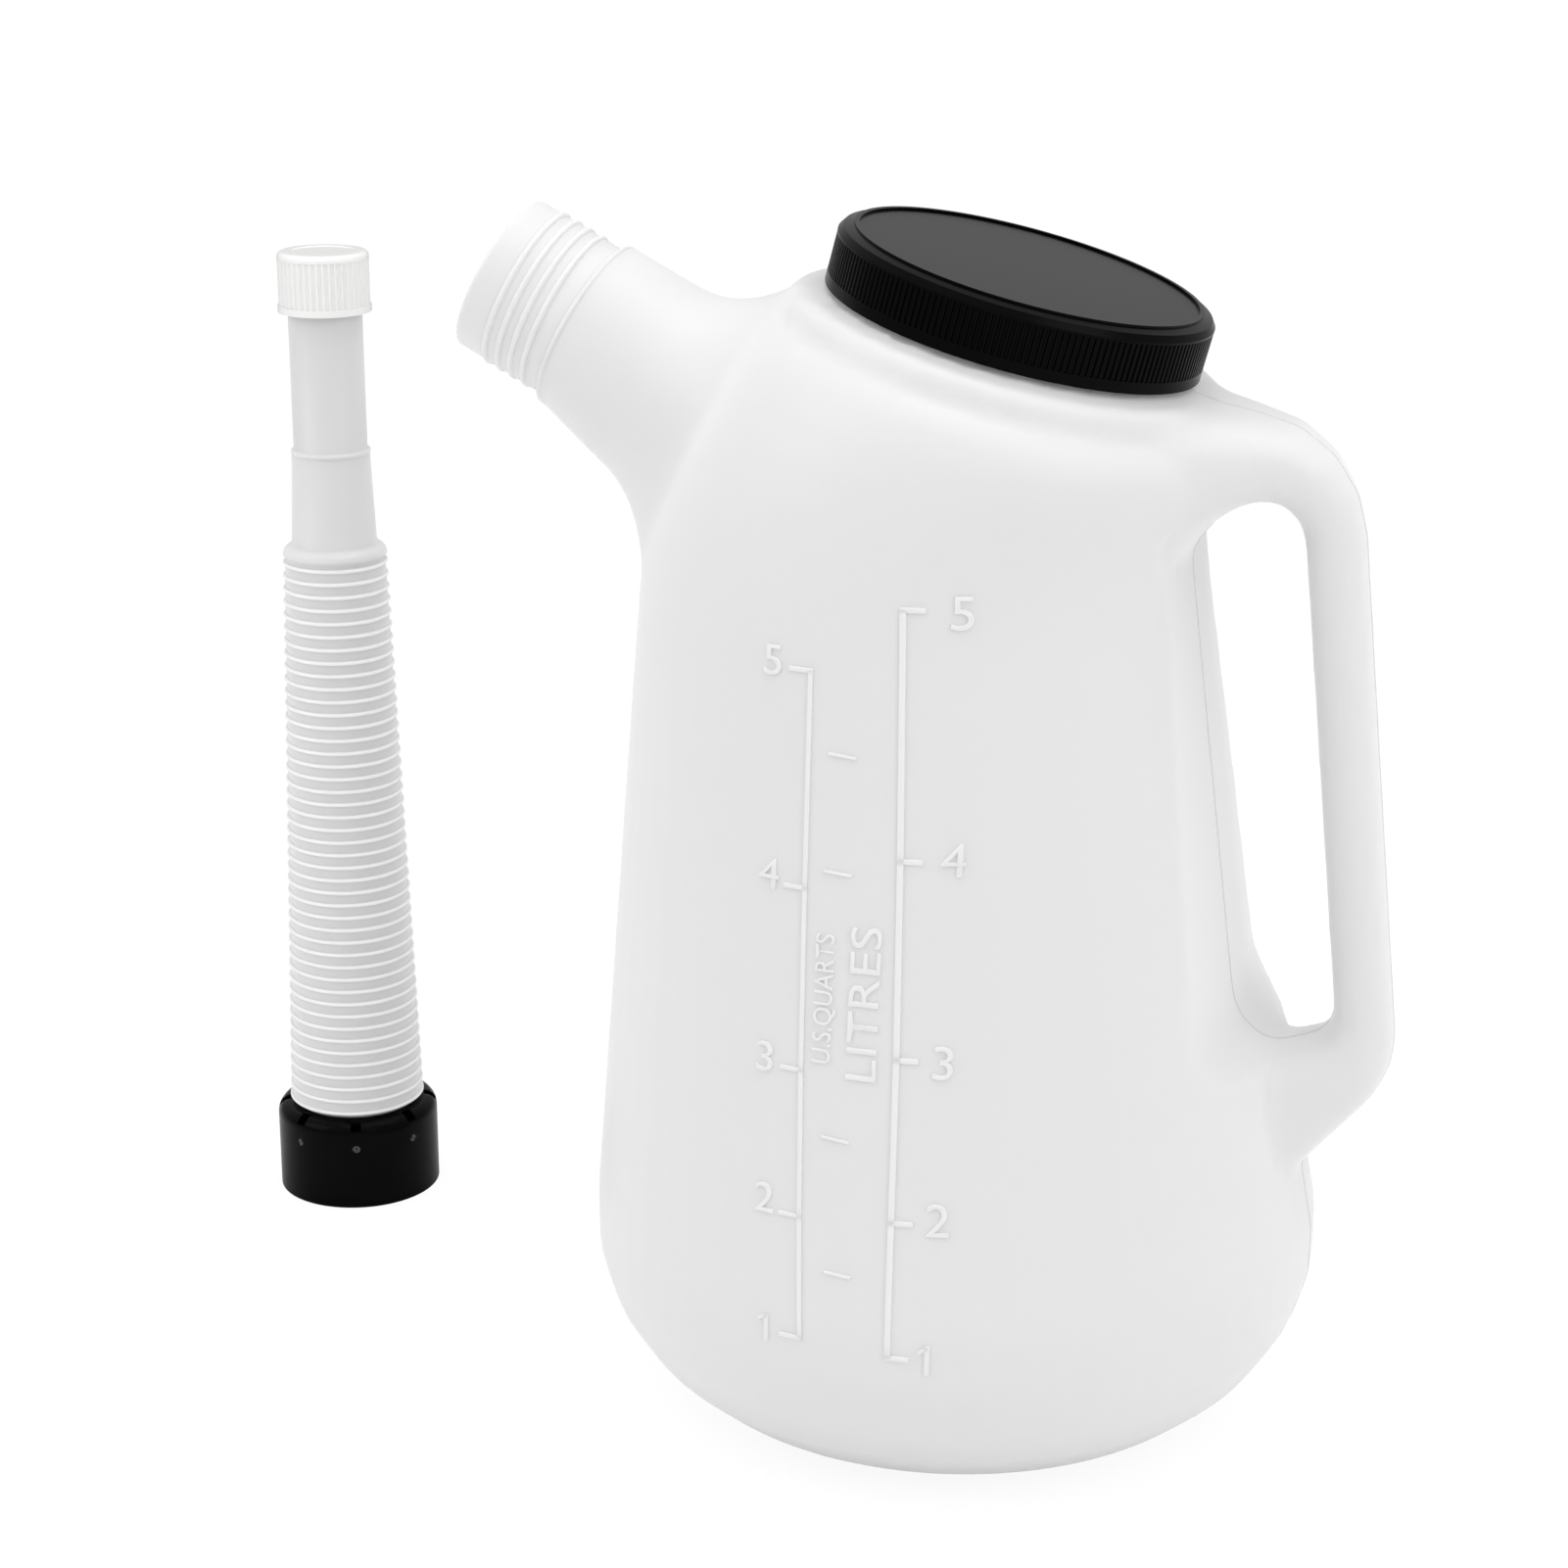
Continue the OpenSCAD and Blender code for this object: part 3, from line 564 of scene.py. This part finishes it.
def bellows(inset):
    points = []
    for i in range(RINGS):
        for rise, out in RING_SHAPE:
            z = BELLOWS_Z + PITCH * (i + FIRST_RING) + rise
            r = BELLOWS_R[0] + (BELLOWS_R[1] - BELLOWS_R[0]) * (z - BELLOWS_Z) / BELLOWS_LEN
            points.append((r - RING_OUT + out - inset, z))
    return points


head_z = BELLOWS_Z + BELLOWS_LEN
spout = turned(
    "flexible_spout_body",
    [(WAIST_R - SPOUT_WALL, FLANGE_Z), (FLANGE_R, FLANGE_Z), (FLANGE_R, FLANGE_Z + FLANGE_T)]
    + [(WAIST_R, FLANGE_Z + FLANGE_T), (WAIST_R, BELLOWS_Z)]
    + bellows(0)
    + arc(BELLOWS_R[1] - HEAD_ROUND, head_z, HEAD_ROUND, 0, 78, 8)
    + [(NOZZLE_FOOT_R, NOZZLE_Z + NOZZLE_EASE), (NOZZLE_MID_R, BEAD_Z - BEAD_FOOT)]
    + arc(NOZZLE_MID_R + BEAD_OUT - BEAD_R, BEAD_Z, BEAD_R, -70, 70, 6)
    + [(NOZZLE_TIP_R, BEAD_Z + BEAD_FOOT), (NOZZLE_TIP_R, NOZZLE_TOP)]
    + [(NOZZLE_TIP_R - SPOUT_WALL, NOZZLE_TOP), (NOZZLE_TIP_R - SPOUT_WALL, BEAD_Z)]
    + [(NOZZLE_FOOT_R - SPOUT_WALL, NOZZLE_Z)]
    + bellows(SPOUT_WALL)[::-1]
    + [(WAIST_R - SPOUT_WALL, BELLOWS_Z)],
    AT_SPOUT,
    steps=88,
)
smooth(spout, 60)
ready(spout, NATURAL_LDPE, "jug", "flexible_spout", slot="natural_ldpe")

# White lines of the rings, partly a painted highlight along their crests: the height above the foot, in
# pitches, gives the place within a ring
coords = add(NATURAL_LDPE, "ShaderNodeTexCoord")
axes = add(NATURAL_LDPE, "ShaderNodeSeparateXYZ", Vector=coords.outputs["Object"])
height = axes.outputs["Z"]
start = 0.5 - FIRST_RING - BELLOWS_Z / PITCH
pitches = add(NATURAL_LDPE, "ShaderNodeMath", height, 1000 / PITCH, start, operation="MULTIPLY_ADD")
within = add(NATURAL_LDPE, "ShaderNodeMath", pitches.outputs[0], operation="FRACT")
near = add(NATURAL_LDPE, "ShaderNodeMath", within.outputs[0], 0.5, LINE_SHARE, operation="COMPARE")
below = add(NATURAL_LDPE, "ShaderNodeMath", height, head_z * MM, operation="LESS_THAN")
ring_line_and_highlight_mask = add(NATURAL_LDPE, "ShaderNodeMath", near.outputs[0], below.outputs[0], operation="MULTIPLY")
# Near white on the rings: thicker wall in part, painted highlight in part
ring_line_and_highlight_colour = add(NATURAL_LDPE, "ShaderNodeMix", ring_line_and_highlight_mask.outputs[0], data_type="RGBA")
for socket, colour in zip(ring_line_and_highlight_colour.inputs[6:8], ("#DADADA", "#F6F6F6")):
    socket.default_value = linear(colour)
NATURAL_LDPE.node_tree.links.new(ring_line_and_highlight_colour.outputs[2], ldpe.inputs["Base Color"])


# Lid, nut and cap: the solids with their edges broken, where they turn by more degrees than SHARP

SHARP = 32


def softened(node, name, width, material, body, slot):
    """A copy of a node with its edges broken by width, in mm, that stands for the node."""
    obj = cad_copy(node, name)
    break_edges(obj, width, SHARP)
    smooth(obj, SHARP)
    modify(obj, "WEIGHTED_NORMAL", keep_sharp=True, weight=50)
    ready(obj, material, body, node, slot=slot)


softened("jug_lid", "lid_body", 0.15, BLACK_PP, "lid", "black_pp")
softened("coupling_nut", "nut_body", 0.25, BLACK_PP, "nut", "black_pp")
# Each dimple on the nut is a small bowl, whose lower half catches the light
NUT_R, DIMPLE_Z, DIMPLE_R, NOTCHES = 24.6, 19.5, 1.35, 8
BOWL_DEPTH, BOWL_RIM, BOWL_TOP, BOWL_BACK, BOWL_PIT = 0.7, 0.15, 0.6, -0.3, 0.1
BOWL_SUNK = 0.72
bowl_turns = [math.pi / 12 * k for k in range(1, 7)]
bowl = turned(
    "dimple",
    [(DIMPLE_R * math.sin(a), BOWL_DEPTH * (1 - math.cos(a))) for a in bowl_turns]
    + [(DIMPLE_R + BOWL_RIM, BOWL_TOP), (DIMPLE_R + BOWL_RIM, BOWL_BACK), (BOWL_PIT, BOWL_BACK)],
    in_frame((NUT_R - BOWL_SUNK, 0, DIMPLE_Z), 90),
    steps=24,
)
smooth(bowl, 40)
bowls = [bowl] + [twin(bowl, "dimple") for _ in range(NOTCHES - 1)]
for i, dimple in enumerate(bowls):
    place(dimple, AT_SPOUT @ Matrix.Rotation(math.radians(360 * (i + 0.5) / NOTCHES), 4, "Z"))
ready(join("nut_dimples", bowls), SHINY_PP, "nut", slot="black_pp")
softened("spout_cap", "cap_body", 0.15, WHITE_PP, "cap", "white_pp")
for liner in ("lid_liner", "cap_liner"):
    NODES[liner].data.materials.clear()
    NODES[liner].data.materials.append(FOAM)

# Camera and studio

camera = bpy.data.cameras.new("camera")
camera.sensor_width = 36.0
camera.lens = 76.45
eye = bpy.data.objects.new("camera", camera)
bpy.context.scene.collection.objects.link(eye)
eye.location = (0.20116, -0.81285, 0.43776)
eye.rotation_euler = [math.radians(a) for a in (72.2662, -0.0213, 17.1181)]
bpy.context.scene.camera = eye
bpy.context.scene.view_settings.view_transform = "Standard"

# The floor lies just under the part; the camera sees most of it as plain white
FLOOR_SIZE, FLOOR_DROP, FLOOR_GLOW = 12, 0.3, 0.85
bpy.ops.mesh.primitive_plane_add(size=FLOOR_SIZE, location=(0, 0, -FLOOR_DROP * MM))
floor = bpy.context.object
floor.name = "floor"
floor_mat = bpy.data.materials.new("white floor")
floor_mat.use_nodes = True
tree = floor_mat.node_tree
tree.nodes.remove(tree.nodes["Principled BSDF"])
seen = add(floor_mat, "ShaderNodeLightPath")
matte = add(floor_mat, "ShaderNodeBsdfDiffuse", Color=linear("#F2F2F2"))
glow = add(floor_mat, "ShaderNodeEmission", Color=linear("#FFFFFF"), Strength=1.06)
direct = seen.outputs["Is Camera Ray"]
share = add(floor_mat, "ShaderNodeMath", direct, FLOOR_GLOW, operation="MULTIPLY")
mixed = add(floor_mat, "ShaderNodeMixShader", share.outputs[0], matte.outputs[0], glow.outputs[0])
tree.links.new(mixed.outputs[0], tree.nodes["Material Output"].inputs["Surface"])
floor.data.materials.append(floor_mat)

# The studio is brighter overhead than at the level of the eye
world = bpy.data.worlds.new("studio")
bpy.context.scene.world = world
world.use_nodes = True
sky = world.node_tree.nodes["Background"]
sky.inputs["Color"].default_value = linear("#FFFFFF")
look = add(world, "ShaderNodeTexCoord")
level = add(world, "ShaderNodeSeparateXYZ", Vector=look.outputs["Generated"])
bright = add(
    world,
    "ShaderNodeMapRange",
    Value=level.outputs["Z"],
    From_Min=0.0,
    From_Max=0.8,
    To_Min=0.55,
    To_Max=0.95,
)
# The camera itself sees plain white behind the floor's edge
direct = add(world, "ShaderNodeLightPath").outputs["Is Camera Ray"]
shown = add(world, "ShaderNodeMath", bright.outputs["Result"], direct, operation="MAXIMUM")
world.node_tree.links.new(shown.outputs[0], sky.inputs["Strength"])


def softbox(name, place_m, aim, size, watts):
    light = bpy.data.lights.new(name, "AREA")
    light.shape = "RECTANGLE"
    light.size, light.size_y = size
    light.energy = watts
    lamp = bpy.data.objects.new(name, light)
    bpy.context.scene.collection.objects.link(lamp)
    lamp.location = place_m
    lamp.rotation_euler = (Vector(aim) - Vector(place_m)).to_track_quat("-Z", "Y").to_euler()


softbox("key light", (1.1, -0.6, 1.0), aim=(0, 0, 0.18), size=(0.9, 0.9), watts=4)
softbox("fill light", (-1.1, -0.7, 1.0), aim=(0, 0, 0.18), size=(0.9, 0.9), watts=3.5)
softbox("top light", (0.1, 0.0, 1.6), aim=(0, 0, 0.15), size=(1.2, 1.2), watts=6)
